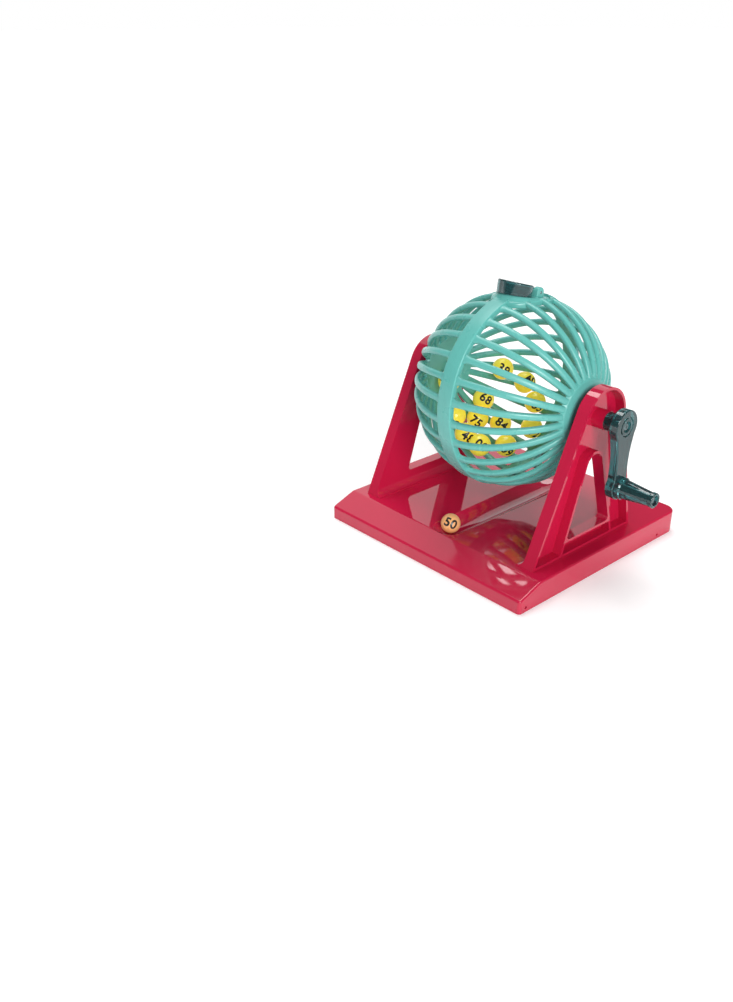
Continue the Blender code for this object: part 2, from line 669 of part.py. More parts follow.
def build():
    red = plastic("red_plastic", RED, 0.15)
    teal = plastic("teal_plastic", TEAL, 0.3)
    smoke = plastic("smoky_clear_plastic", SMOKE, 0.1, 0.0, 0.6)
    yellow = plastic("yellow_ball_plastic", YELLOW, 0.3)
    steel = plastic("plated_steel", STEEL, 0.3, 1.0)

    make_tray(red)
    make_upright("upright_left", -1, red)
    make_upright("upright_right", 1, red)

    globe_axis = pivot("globe_axis", Matrix.Translation(CENTRE))
    grip_axis = pivot("grip_axis", Matrix.Translation(CENTRE - Vector((0, 0, CRANK_THROW))))
    lid_axis = pivot("lid_axis", PORT_FRAME @ Matrix.Translation((0, HINGE_Y, HINGE_Z)))
    swing_axis = pivot("ball_swing_axis", Matrix.Translation(CENTRE))

    hang_on(globe_axis, make_globe_half("globe_half_left", -1, teal),
            make_globe_half("globe_half_right", 1, teal), make_collar(teal),
            finish(hinge_rod("lid_hinge_pin", HINGE_PIN_RADIUS, EAR_OUTER), steel),
            make_crank(smoke), make_crank_screw(steel), make_grip_pin(steel))
    hang_on(grip_axis, make_grip(smoke))
    hang_on(lid_axis, make_lid(smoke))
    hang_on(swing_axis, *make_globe_balls(yellow))
    make_drawn_ball(yellow)


build()
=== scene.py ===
"""Looks of a table-top bingo cage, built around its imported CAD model.

Red moulded tray and uprights, a teal ribbed globe, smoky see-through crank and lid, and
yellow numbered balls. Sizes are in metres in the CAD frame: +Z up, the axle along X, the
crank on the +X side, the tray's low front edge towards -Y.
"""

import json
import math

import bmesh
import bpy
from mathutils import Matrix, Vector


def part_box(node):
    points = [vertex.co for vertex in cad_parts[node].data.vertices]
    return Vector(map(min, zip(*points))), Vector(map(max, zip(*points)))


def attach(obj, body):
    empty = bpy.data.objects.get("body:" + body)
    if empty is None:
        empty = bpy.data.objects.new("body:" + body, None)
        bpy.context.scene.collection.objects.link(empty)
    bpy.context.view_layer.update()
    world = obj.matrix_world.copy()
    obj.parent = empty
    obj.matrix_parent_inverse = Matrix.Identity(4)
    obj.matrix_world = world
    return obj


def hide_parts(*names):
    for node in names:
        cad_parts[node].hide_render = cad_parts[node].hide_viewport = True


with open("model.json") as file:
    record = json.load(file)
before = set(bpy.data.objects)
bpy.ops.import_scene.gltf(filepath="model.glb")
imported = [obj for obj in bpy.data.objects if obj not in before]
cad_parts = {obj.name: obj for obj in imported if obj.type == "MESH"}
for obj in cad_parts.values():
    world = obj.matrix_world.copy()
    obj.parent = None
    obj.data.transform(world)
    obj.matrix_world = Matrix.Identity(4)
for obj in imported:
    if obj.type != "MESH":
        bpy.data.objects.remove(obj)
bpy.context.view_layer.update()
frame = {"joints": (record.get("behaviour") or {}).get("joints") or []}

# ---------------------------------------------------------------- sizes from the frame

JOINT = {joint["name"]: joint for joint in frame["joints"]}
AXLE = Vector(JOINT["globe_spin"]["pos_m"])
GRIP_AXIS = Vector(JOINT["grip_spin"]["pos_m"])
LID_AXIS = Vector(JOINT["lid_hinge"]["pos_m"])

TRAY_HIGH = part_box("base_tray")[1]
UPRIGHT_LOW, UPRIGHT_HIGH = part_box("upright_right")
GLOBE_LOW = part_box("globe_half_right")[0]
CRANK_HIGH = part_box("crank_arm")[1]
GRIP_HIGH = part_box("crank_grip")[1]

HAIRLINE = 0.00004              # what is left open where two pieces meet

# Tray
HALF_WIDTH = TRAY_HIGH.x
HALF_DEPTH = TRAY_HIGH.y
TOP = TRAY_HIGH.z
WALL = 0.0024
FRONT_HEIGHT = 0.0118
RAMP_DEPTH = 0.0255
REAR_CORNER = 0.012
FRONT_CORNER = 0.003
EDGE = 0.0018
BEND_RADIUS = 0.007
TROUGH_FRONT = dict(y=-0.074, radius=0.0215, floor=0.0152)
TROUGH_REAR = dict(y=0.060, radius=0.034, floor=0.0167)
TROUGH_LIP = 0.0016
CROSS_RIB_Y = (-0.040, 0.045)
PIVOT_Y = (-0.1055, 0.082)      # of the small holes through both side walls
PIVOT_Z = 0.0042
PIVOT_RADIUS = 0.0013

# Uprights
FOOT_FILLET = 0.0066
INNER_X = UPRIGHT_LOW.x + FOOT_FILLET
OUTER_X = 0.1023
HEAD_RADIUS = UPRIGHT_HIGH.z - AXLE.z
FOOT_Y = (-0.0815, 0.0545)
WINDOW_Y = -0.0085
WINDOW_HALF_WIDTH = 0.0298
SILL = 0.0357
WINDOW_CORNER = 0.0032
ARCH_Z = 0.097
ARCH_RADIUS = 0.0104
BOSS_RADIUS = 0.0085
BOSS_END_X = UPRIGHT_HIGH.x
UPRIGHT_FLOOR = TOP + HAIRLINE
TAB_Y = (-0.055, 0.032)         # of the hooked tabs that go into the tray
TAB_HALF_LENGTH = 0.007
TAB_X = INNER_X + 0.0008
TAB_FOOT_Z = 0.0115
HOOK_TOP_Z = 0.0165
HOOK_REACH = 0.0011
SLOT_CLEARANCE = 0.0003
SLOT_X = TAB_X - SLOT_CLEARANCE

# Globe
BAND_RADIUS = AXLE.z - GLOBE_LOW.z
RADIUS = BAND_RADIUS - 0.0006
THICKNESS = 0.005
BAND_HALF_WIDTH = 0.0077
RIBS = 28
RIB_WIDTH = 0.006
POLE_RADIUS = 0.0245
POLE_FACE = 0.0838
CAP_RADIUS = 29.5 / 85 * RADIUS # how far from the axle the pole cap covers the ribs
HUB_RADIUS = 0.009
HUB_BORE = 0.0018               # for the crank's screw
JOURNAL_RADIUS = 0.0055
HOLLOW_RADIUS = 0.0060          # of the blind hole inside the journal's pole
HOLLOW_DEPTH = 0.0035

# Filling port, in a frame that leans back about the axle
PORT_TILT = math.radians(11)
PORT_FRAME = Matrix.Translation(AXLE) @ Matrix.Rotation(-PORT_TILT, 4, "X")
PORT_PLANE = 0.0842
COLLAR_HALF_WIDTH = 0.0187
COLLAR_HALF_LENGTH = 0.0265
COLLAR_Y = -0.009
LID_Y = -0.022
LID_RADIUS = 0.0157
LID_HEIGHT = 0.0118
PORT_RADIUS = 0.0110
LID_SLOPE = 0.085               # how fast the lid's top falls towards the hinge
HINGE = PORT_FRAME.inverted() @ LID_AXIS
EAR_RADIUS = 0.0045
EAR_SPAN = (0.0060, 0.0125)
PIN_RADIUS = 0.0012
SADDLE_WIDTH = 0.0020

# Crank
CRANK_FACE = CRANK_HIGH.x
CRANK_BACK = 0.1155
CRANK_HEAD_RADIUS = 0.0144
CRANK_THROW = AXLE.z - GRIP_AXIS.z
CRANK_END_RADIUS = 0.011
CRANK_WAIST = 0.0082
CRANK_RECESS = 0.0028
CRANK_COLLAR_RADIUS = 0.008
KEY_HALF = 0.0032
KEY_END_X = 0.0862
SOCKET_FLOOR_X = 0.0859
RING_GROOVE = (0.0086, 0.0072, 0.0012)      # its outer and inner radius, and its depth
SCREW_RADIUS = 0.0015
SCREW_POINT_X = (0.0815, 0.0805)            # where its point begins and ends
PIN_SHANK_RADIUS = 0.0020
GRIP_ROOT_RADIUS = 0.0096
GRIP_TIP_RADIUS = 0.0066
GRIP_WELL = (0.0042, 0.0035)

AXIS_TO_PLUS_X = Matrix.Rotation(math.radians(90), 4, "Y")
AXIS_TO_MINUS_X = Matrix.Rotation(math.radians(-90), 4, "Y")
# A flat outline's own x and y become the world's y and z, and it is thick along the world's x
OUTLINE_ACROSS_X = Matrix(((0, 0, 1, 0), (1, 0, 0, 0), (0, 1, 0, 0), (0, 0, 0, 1)))


# ---------------------------------------------------------------- outlines

def arc(centre, radius, start, end, steps):
    """Points on a circle between two angles in degrees."""
    points = []
    for i in range(steps + 1):
        angle = math.radians(start + (end - start) * i / steps)
        points.append((centre[0] + radius * math.cos(angle), centre[1] + radius * math.sin(angle)))
    return points


def rounded(corners, steps=5):
    """A closed or open line through (x, y, radius) corners, each rounded by its radius."""
    points = []
    count = len(corners)
    for i, (x, y, radius) in enumerate(corners):
        if radius <= 0:
            points.append((x, y))
            continue
        here = Vector((x, y))
        before = (Vector(corners[i - 1][:2]) - here).normalized()
        after = (Vector(corners[(i + 1) % count][:2]) - here).normalized()
        half = before.angle(after) / 2
        centre = here + (before + after).normalized() * (radius / math.sin(half))
        first = here + before * (radius / math.tan(half)) - centre
        last = here + after * (radius / math.tan(half)) - centre
        turn = first.angle_signed(last)
        for step in range(steps + 1):
            point = centre + Matrix.Rotation(-turn * step / steps, 2) @ first
            points.append((point.x, point.y))
    return points


def stadium(half_width, half_length, centre_y, steps=24):
    straight = half_length - half_width
    return (arc((0, centre_y + straight), half_width, 0, 180, steps)
            + arc((0, centre_y - straight), half_width, 180, 360, steps))


class AFrame:
    """The two straight sides of an A, each tangent to the circle that rounds its top."""

    def __init__(self, front_y, rear_y, foot_z, centre, radius):
        self.foot_z, self.centre, self.radius = foot_z, centre, radius
        self.front = self.tangent_angle(front_y, -1)
        self.rear = self.tangent_angle(rear_y, 1)

    def tangent_angle(self, foot_y, side):
        across = foot_y - self.centre[0]
        down = self.foot_z - self.centre[1]
        towards_foot = math.atan2(down, across)
        return math.degrees(towards_foot + side * math.acos(self.radius / math.hypot(across, down)))

    def side_y(self, angle, z, inset):
        normal = math.radians(angle)
        rise = (z - self.centre[1]) * math.sin(normal)
        return self.centre[0] + (self.radius - inset - rise) / math.cos(normal)

    def outline(self, bottom, inset=0.0, steps=40):
        front = math.fmod(self.front + 360, 360)
        top = arc(self.centre, self.radius - inset, self.rear, front, steps)
        return [(self.side_y(self.front, bottom, inset), bottom),
                (self.side_y(self.rear, bottom, inset), bottom)] + top

    def trapezoid(self, bottom, top, inset):
        return [(self.side_y(self.front, bottom, inset), bottom),
                (self.side_y(self.rear, bottom, inset), bottom),
                (self.side_y(self.rear, top, inset), top),
                (self.side_y(self.front, top, inset), top)]


# ---------------------------------------------------------------- mesh tools

def add_object(name, mesh):
    thing = bpy.data.objects.new(name, mesh)
    bpy.context.scene.collection.objects.link(thing)
    return thing


def from_bmesh(name, work, place=None):
    bmesh.ops.recalc_face_normals(work, faces=work.faces)
    mesh = bpy.data.meshes.new(name)
    work.to_mesh(mesh)
    work.free()
    if place is not None:
        mesh.transform(place)
        if place.determinant() < 0:
            mesh.flip_normals()
    return add_object(name, mesh)


def from_faces(name, points, faces, place=None, merge=1e-7):
    work = bmesh.new()
    made = [work.verts.new(point) for point in points]
    for face in faces:
        corners = [made[i] for i in face]
        if len(set(corners)) > 2:
            work.faces.new(corners)
    bmesh.ops.remove_doubles(work, verts=work.verts, dist=merge)
    bmesh.ops.dissolve_degenerate(work, edges=work.edges, dist=merge)
    return from_bmesh(name, work, place)


def skin(name, rings, place=None, cap_first=True, cap_last=True, closed=False):
    """A surface over rings of points, all of one count; closed joins the last ring to the first."""
    count = len(rings[0])
    points = [point for ring in rings for point in ring]
    faces = []
    spans = len(rings) if closed else len(rings) - 1
    for i in range(spans):
        here, there = i * count, (i + 1) % len(rings) * count
        for j in range(count):
            k = (j + 1) % count
            faces.append((here + j, here + k, there + k, there + j))
    if not closed and cap_first:
        faces.append(tuple(range(count))[::-1])
    if not closed and cap_last:
        faces.append(tuple(range(len(points) - count, len(points))))
    return from_faces(name, points, faces, place)


def prism(name, outline, low, high, place=None):
    low, high = sorted((low, high))
    rings = [[(x, y, z) for x, y in outline] for z in (low, high)]
    return skin(name, rings, place)


def box(name, low, high, place=None):
    outline = [(low[0], low[1]), (high[0], low[1]), (high[0], high[1]), (low[0], high[1])]
    return prism(name, outline, low[2], high[2], place)


def turned(name, profile, place, steps=96):
    """A (radius, height) profile turned about its own z; open profiles end on the axis."""
    rings = []
    for i in range(steps):
        angle = 2 * math.pi * i / steps
        rings.append([(radius * math.cos(angle), radius * math.sin(angle), height)
                      for radius, height in profile])
    points = [point for ring in rings for point in ring]
    count = len(profile)
    on_axis = profile[0][0] == 0 and profile[-1][0] == 0
    spans = count - 1 if on_axis else count
    faces = []
    for i in range(steps):
        here, there = i * count, (i + 1) % steps * count
        for j in range(spans):
            k = (j + 1) % count
            faces.append((here + j, here + k, there + k, there + j))
    return from_faces(name, points, faces, place)


def rod(name, radius, low, high, place, steps=64):
    return turned(name, [(0, low), (radius, low), (radius, high), (0, high)], place, steps)


def bake(thing):
    """Turns what the modifiers make into the object's own mesh."""
    bpy.context.view_layer.update()
    graph = bpy.context.evaluated_depsgraph_get()
    mesh = bpy.data.meshes.new_from_object(thing.evaluated_get(graph), depsgraph=graph)
    thing.modifiers.clear()
    thing.data = mesh
    return thing


def boolean(thing, others, operation, solver="EXACT"):
    for other in others:
        modifier = thing.modifiers.new(operation, "BOOLEAN")
        modifier.operation = operation
        modifier.solver = solver
        modifier.object = other
        bake(thing)
        bpy.data.objects.remove(other, do_unlink=True)
    return thing


def cut(thing, *others):
    return boolean(thing, others, "DIFFERENCE")


def add(thing, *others):
    return boolean(thing, others, "UNION")


def soften(thing, width, segments=2, angle=30):
    """Rounds every edge sharper than the angle."""
    edge = thing.modifiers.new("soften", "BEVEL")
    edge.width = width
    edge.segments = segments
    edge.limit_method = "ANGLE"
    edge.angle_limit = math.radians(angle)
    edge.miter_outer = "MITER_ARC"
    return bake(thing)


def smooth(thing, sharp=40, weighted=True):
    thing.data.shade_smooth()
    thing.data.set_sharp_from_angle(angle=math.radians(sharp))
    if weighted:
        thing.modifiers.new("flat_faces_stay_flat", "WEIGHTED_NORMAL").keep_sharp = True
    return thing


def finish(thing, material, body, slot, *nodes, sharp=40, weighted=True):
    """Gives a piece its material, its body and the CAD nodes that it stands for; the slot argument
    is not used.
    """
    smooth(thing, sharp, weighted)
    if material is not None:
        thing.data.materials.clear()
        thing.data.materials.append(material)
    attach(thing, body)
    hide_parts(*nodes)
    return thing


# ---------------------------------------------------------------- materials

class Recipe:
    """A material made from nodes, with its Principled shader at hand."""

    def __init__(self, name):
        self.material = bpy.data.materials.new(name)
        self.material.use_nodes = True
        self.tree = self.material.node_tree
        self.shader = self.tree.nodes["Principled BSDF"]
        self.place = self.node("ShaderNodeTexCoord").outputs["Object"]

    def node(self, kind, **settings):
        made = self.tree.nodes.new(kind)
        for key, value in settings.items():
            setattr(made, key, value)
        return made

    def set(self, **values):
        for key, value in values.items():
            self.shader.inputs[key.replace("_", " ")].default_value = value

    def noise(self, scale, detail=3.0, stretch=(1, 1, 1)):
        mapping = self.node("ShaderNodeMapping")
        mapping.inputs["Scale"].default_value = stretch
        self.tree.links.new(self.place, mapping.inputs["Vector"])
        texture = self.node("ShaderNodeTexNoise")
        texture.inputs["Scale"].default_value = scale
        texture.inputs["Detail"].default_value = detail
        self.tree.links.new(mapping.outputs["Vector"], texture.inputs["Vector"])
        return texture.outputs["Fac"]

    def spread(self, value, low, high, socket):
        """Drives a shader socket between two numbers."""
        between = self.node("ShaderNodeMapRange")
        between.inputs["From Min"].default_value = 0.3
        between.inputs["From Max"].default_value = 0.7
        between.inputs["To Min"].default_value = low
        between.inputs["To Max"].default_value = high
        self.tree.links.new(value, between.inputs["Value"])
        self.tree.links.new(between.outputs["Result"], self.shader.inputs[socket])

    def tint(self, value, first, second):
        """Drives the base colour between two colours."""
        ramp = self.node("ShaderNodeValToRGB")
        ramp.color_ramp.elements[0].position = 0.3
        ramp.color_ramp.elements[0].color = (*first, 1)
        ramp.color_ramp.elements[1].position = 0.7
        ramp.color_ramp.elements[1].color = (*second, 1)
        self.tree.links.new(value, ramp.inputs["Fac"])
        self.tree.links.new(ramp.outputs["Color"], self.shader.inputs["Base Color"])

    def bump(self, value, depth, strength=1.0):
        bump = self.node("ShaderNodeBump")
        bump.inputs["Distance"].default_value = depth
        bump.inputs["Strength"].default_value = strength
        self.tree.links.new(value, bump.inputs["Height"])
        self.tree.links.new(bump.outputs["Normal"], self.shader.inputs["Normal"])


def moulded(name, colour, shade, roughness, ior, ripple):
    """Glossy moulded plastic: a faint drift in colour and gloss, and a slow ripple."""
    recipe = Recipe(name)
    recipe.tint(recipe.noise(14), colour, [c * shade for c in colour])
    recipe.spread(recipe.noise(45), roughness * 0.7, roughness * 1.3, "Roughness")
    recipe.bump(recipe.noise(30, 1.0), ripple)
    recipe.set(IOR=ior)
    return recipe.material


def smoky_clear():
    recipe = Recipe("smoky_clear_plastic")
    recipe.tint(recipe.noise(20), (0.045, 0.185, 0.195), (0.038, 0.165, 0.175))
    recipe.spread(recipe.noise(60), 0.015, 0.05, "Roughness")
    recipe.bump(recipe.noise(40, 1.0), 0.00002)
    recipe.set(IOR=1.60, Transmission_Weight=0.80)
    return recipe.material


def ball_plastic(name, colour, shade, painted_glow):
    recipe = Recipe(name)
    recipe.tint(recipe.noise(60), colour, shade)
    recipe.spread(recipe.noise(90), 0.16, 0.26, "Roughness")
    recipe.bump(recipe.noise(120, 1.0), 0.00001)
    # The emission is a painted glow: it brightens the balls beyond what the lamps give them, in the
    # second tone's colour.
    recipe.set(IOR=1.5, Emission_Color=(*shade, 1), Emission_Strength=painted_glow)
    return recipe.material


def printed_ink():
    recipe = Recipe("black_print")
    recipe.tint(recipe.noise(300), (0.010, 0.010, 0.011), (0.016, 0.016, 0.017))
    recipe.spread(recipe.noise(300), 0.3, 0.45, "Roughness")
    return recipe.material


def plated():
    recipe = Recipe("plated_steel")
    recipe.tint(recipe.noise(200), (0.19, 0.25, 0.26), (0.16, 0.21, 0.22))
    recipe.spread(recipe.noise(600, 2.0, (1, 8, 8)), 0.20, 0.36, "Roughness")
    recipe.set(Metallic=1.0)
    return recipe.material


RED = moulded("red_plastic", (0.52, 0.0095, 0.050), 0.94, 0.045, 1.56, 0.00002)
TEAL = moulded("teal_plastic", (0.120, 0.455, 0.410), 0.95, 0.29, 1.50, 0.00002)
SMOKE = smoky_clear()
# The last figure of each ball plastic is its painted glow, a faint emission that brightens the
# balls though they are no lamps.
YELLOW = ball_plastic("yellow_ball_plastic", (0.98, 0.80, 0.085), (0.97, 0.74, 0.055), 0.20)
ORANGE = ball_plastic("orange_ball_plastic", (0.88, 0.45, 0.20), (0.84, 0.40, 0.15), 0.04)
INK = printed_ink()
STEEL = plated()


# ---------------------------------------------------------------- tray

RAMP_SLOPE = (TOP - FRONT_HEIGHT) / RAMP_DEPTH
BEND_Y = RAMP_DEPTH - HALF_DEPTH
BEND_TANGENT = BEND_RADIUS * math.tan(math.atan(RAMP_SLOPE) / 2)


def tray_height(y):
    """The tray's upper surface: flat, then rounded over into the front ramp."""
    if y >= BEND_Y + BEND_TANGENT:
        return TOP
    if y > BEND_Y - BEND_TANGENT * math.cos(math.atan(RAMP_SLOPE)):
        across = y - BEND_Y - BEND_TANGENT
        return TOP - BEND_RADIUS + math.sqrt(BEND_RADIUS ** 2 - across ** 2)
    return TOP - (BEND_Y - y) * RAMP_SLOPE


def tray_ring(inset, drop, corner_steps=12, bend_steps=8):
    """The tray's outline from above, moved in by the inset, and lowered by the drop."""
    rear, front = REAR_CORNER - inset, max(FRONT_CORNER - inset, 0.0004)
    x, y = HALF_WIDTH - inset, HALF_DEPTH - inset
    right = arc((x - rear, y - rear), rear, 90, 0, corner_steps)
    for i in range(bend_steps + 1):
        right.append((x, BEND_Y + BEND_TANGENT * (1 - 2 * i / bend_steps)))
    right += arc((x - front, front - y), front, 0, -90, 6)
    outline = right + [(-px, py) for px, py in reversed(right)]
    return [(px, py, tray_height(py) - drop) for px, py in outline]


def tray_body(name, inset, drop, bottom, edge, steps=6):
    rings = [[(x, y, bottom) for x, y, _ in tray_ring(inset, 0)]]
    for i in range(steps + 1):
        angle = math.pi / 2 * i / steps
        rings.append(tray_ring(inset + edge * (1 - math.cos(angle)),
                               drop + edge * (1 - math.sin(angle))))
    points = [point for ring in rings for point in ring]
    count = len(rings[0])
    faces = [tuple(range(count))[::-1]]
    for i in range(len(rings) - 1):
        for j in range(count):
            k = (j + 1) % count
            faces.append((i * count + j, i * count + k, (i + 1) * count + k, (i + 1) * count + j))
    last = len(points) - count
    for j in range(count // 2 - 1):
        faces.append((last + j, last + j + 1, last + count - 2 - j, last + count - 1 - j))
    return from_faces(name, points, faces)


def trough_profile(radius, floor, lip):
    """Across the trough, from its lowest point up over its rounded lip, as (distance, height)."""
    centre_z = floor + radius
    lip_z = TOP - 0.99 * lip
    reach = math.sqrt((radius + lip) ** 2 - (centre_z - lip_z) ** 2)
    meeting = math.atan2(reach, centre_z - lip_z)
    profile = []
    for i in range(17):
        angle = meeting * i / 16
        profile.append((radius * math.sin(angle), centre_z - radius * math.cos(angle)))
    for i in range(1, 9):
        angle = meeting * (1 - i / 8)
        profile.append((reach - lip * math.sin(angle), lip_z + lip * math.cos(angle)))
    profile.append((reach, TOP + 0.006))
    return profile


def trough(name, skin_wall=0.0, lip=TROUGH_LIP, turn_steps=32):
    """What fills the ball trough: a groove with round ends that widens to the back."""
    ends = []
    for end in (TROUGH_FRONT, TROUGH_REAR):
        ends.append(trough_profile(end["radius"] + skin_wall, end["floor"] - skin_wall, lip))
    rings = []
    for (front_out, front_z), (rear_out, rear_z) in zip(*ends):
        ring = []
        for i in range(turn_steps + 1):
            angle = math.pi * i / turn_steps
            ring.append((front_out * math.cos(angle),
                         TROUGH_FRONT["y"] - front_out * math.sin(angle), front_z))
        for i in range(turn_steps + 1):
            angle = math.pi * (1 + i / turn_steps)
            ring.append((rear_out * math.cos(angle),
                         TROUGH_REAR["y"] - rear_out * math.sin(angle), rear_z))
        rings.append(ring)
    return skin(name, rings, cap_first=False)


def make_tray():
    tray = tray_body("tray", 0, 0, 0, EDGE)
    hollow = tray_body("tray_hollow", WALL, WALL, -0.001, 0.0006, 2)
    rib = WALL / 2
    cut(hollow, box("spine", (-rib, -0.2, -0.1), (rib, 0.2, 0.1)))
    for y in CROSS_RIB_Y:
        cut(hollow, box("cross_rib", (-0.2, y - rib, -0.1), (0.2, y + rib, 0.1)))
    cut(hollow, trough("trough_skin", WALL))
    cut(tray, hollow, trough("trough_space"))
    slot = (SLOT_X, SLOT_X + WALL + 2 * SLOT_CLEARANCE)
    half = TAB_HALF_LENGTH + SLOT_CLEARANCE
    for side in (-1, 1):
        for y in TAB_Y:
            cut(tray, box("tab_slot", (side * slot[0 if side > 0 else 1], y - half, 0.015),
                          (side * slot[1 if side > 0 else 0], y + half, 0.030)))
    for y in PIVOT_Y:
        cut(tray, rod("pivot_hole", PIVOT_RADIUS, -0.2, 0.2,
                      Matrix.Translation((0, y, PIVOT_Z)) @ AXIS_TO_PLUS_X, 24))
    return finish(tray, RED, "stand", "red_plastic", "base_tray")


# ---------------------------------------------------------------- uprights

def make_upright(name, side):
    """An A-shaped shell, open on its outer side, with a bored boss for the axle."""
    frame_outline = AFrame(*FOOT_Y, TOP, (0, AXLE.z), HEAD_RADIUS)
    window = AFrame(WINDOW_Y - WINDOW_HALF_WIDTH, WINDOW_Y + WINDOW_HALF_WIDTH, SILL,
                    (WINDOW_Y, ARCH_Z), ARCH_RADIUS)
    axle = Matrix.Translation(AXLE) @ AXIS_TO_PLUS_X
    web, beyond = INNER_X + WALL, OUTER_X + 0.010
    floor = UPRIGHT_FLOOR

    def slab(outline, inner, outer):
        return prism(name + "_slab", outline, side * inner, side * outer, OUTLINE_ACROSS_X)

    def bar(radius, inner, outer):
        return rod(name + "_bar", radius, *sorted((side * inner, side * outer)), axle)

    opening = rounded([(y, z, WINDOW_CORNER if z == SILL else 0) for y, z in window.outline(SILL)])
    upright = slab(frame_outline.outline(floor), INNER_X, OUTER_X)
    recess = slab(frame_outline.outline(floor + WALL, WALL), web, beyond)
    cut(recess, slab(window.outline(floor, -WALL), web - 0.001, beyond + 0.001))
    cut(upright, recess,
        slab(window.trapezoid(floor + WALL, SILL - WALL, 0), web, beyond),
        slab(opening, INNER_X - 0.01, beyond))
    add(upright, bar(BOSS_RADIUS, INNER_X + 0.001, BOSS_END_X))

    foot_x, bead = INNER_X - FOOT_FILLET, 0.001
    curve = arc((foot_x, floor + FOOT_FILLET + bead), FOOT_FILLET, -90, 0, 14)
    section = [(foot_x, floor), *curve, (INNER_X + 0.0005, floor + FOOT_FILLET + bead),
               (INNER_X + 0.0005, floor)]
    rings = [[(side * x, y, z) for x, z in section] for y in (FOOT_Y[0] - 0.01, FOOT_Y[1] + 0.01)]
    fillet = skin(name + "_fillet", rings)
    boolean(fillet, [slab(frame_outline.outline(floor), foot_x - 0.01, beyond)], "INTERSECT")
    add(upright, fillet)

    tab_back = TAB_X + WALL
    for y in TAB_Y:
        for low, high in (((TAB_X, TAB_FOOT_Z), (tab_back, floor + 0.001)),
                          ((tab_back - 0.001, TAB_FOOT_Z),
                           (tab_back + HOOK_REACH, HOOK_TOP_Z))):
            x_span = sorted((side * low[0], side * high[0]))
            add(upright, box(name + "_tab", (x_span[0], y - TAB_HALF_LENGTH, low[1]),
                             (x_span[1], y + TAB_HALF_LENGTH, high[1])))
    soften(upright, 0.00045, 3)
    cut(upright, bar(JOURNAL_RADIUS + HAIRLINE, INNER_X - 0.01, BOSS_END_X + 0.01))
    return finish(upright, RED, "stand", "red_plastic", name)


# ---------------------------------------------------------------- globe

def pole_cap(name, place, journal_end):
    """The disc where the ribs meet, on its hub, with a journal or a bore for the screw."""
    inner = RADIUS - THICKNESS
    hub_end = INNER_X - HAIRLINE
    outer_edge = math.degrees(math.acos(CAP_RADIUS / RADIUS))
    disc_edge = math.degrees(math.acos(POLE_RADIUS / RADIUS))
    inner_edge = math.degrees(math.acos(CAP_RADIUS / inner))
    bore = 0 if journal_end else HUB_BORE
    profile = [(bore, journal_end or hub_end)]
    if journal_end:
        profile += [(JOURNAL_RADIUS - 0.0005, journal_end), (JOURNAL_RADIUS, journal_end - 0.0005),
                    (JOURNAL_RADIUS, hub_end)]
    profile += [(HUB_RADIUS - 0.0004, hub_end), (HUB_RADIUS, hub_end - 0.0004),
                (HUB_RADIUS, POLE_FACE + 0.001), (HUB_RADIUS + 0.001, POLE_FACE),
                (POLE_RADIUS - 0.0035, POLE_FACE)]
    profile += arc((0, 0), RADIUS, disc_edge, outer_edge, 6)
    middle = Vector((math.cos(math.radians((outer_edge + inner_edge) / 2)),
                     math.sin(math.radians((outer_edge + inner_edge) / 2))))
    tip = middle * (RADIUS - THICKNESS / 2) + Vector((middle.y, -middle.x)) * 0.0022
    profile.append(tuple(tip))
    inner_arc = arc((0, 0), inner, inner_edge, 85, 12)
    inside = inner_arc[-1][1]
    hollow = HOLLOW_RADIUS if journal_end else bore
    profile += [point for point in inner_arc if point[0] > hollow + 0.001]
    profile.append((hollow, inside))
    if journal_end:
        profile += [(hollow - 0.0002, inside + HOLLOW_DEPTH), (0, inside + HOLLOW_DEPTH)]
    return turned(name, profile, place, 112)


def make_rib(name, place, azimuth):
    """One bar along a meridian, wider where it leaves the band and sunk in the pole cap."""
    out = Vector((math.cos(azimuth), math.sin(azimuth), 0))
    across = Vector((-math.sin(azimuth), math.cos(azimuth), 0))
    axis = Vector((0, 0, 1))
    middle = RADIUS - THICKNESS / 2
    start = math.asin(0.7 * BAND_HALF_WIDTH / middle)
    end = math.acos(0.024 / middle)
    stations, around = 40, 20
    rings = []
    for i in range(stations + 1):
        latitude = start + (end - start) * (i / stations) ** 1.25
        normal = out * math.cos(latitude) + axis * math.sin(latitude)
        from_band = max(0.0, middle * latitude - BAND_HALF_WIDTH)
        flare = 0.0018 * max(0.0, 1 - from_band / 0.0045) ** 2
        half_width = RIB_WIDTH / 2 + flare
        half_depth = THICKNESS / 2 - 0.00005
        ring = []
        for j in range(around):
            angle = 2 * math.pi * j / around
            high = math.copysign(abs(math.cos(angle)) ** 0.78, math.cos(angle))
            wide = math.copysign(abs(math.sin(angle)) ** 0.78, math.sin(angle))
            ring.append(normal * (middle + half_depth * high) + across * half_width * wide)
        rings.append(ring)
    return skin(name, rings, place)


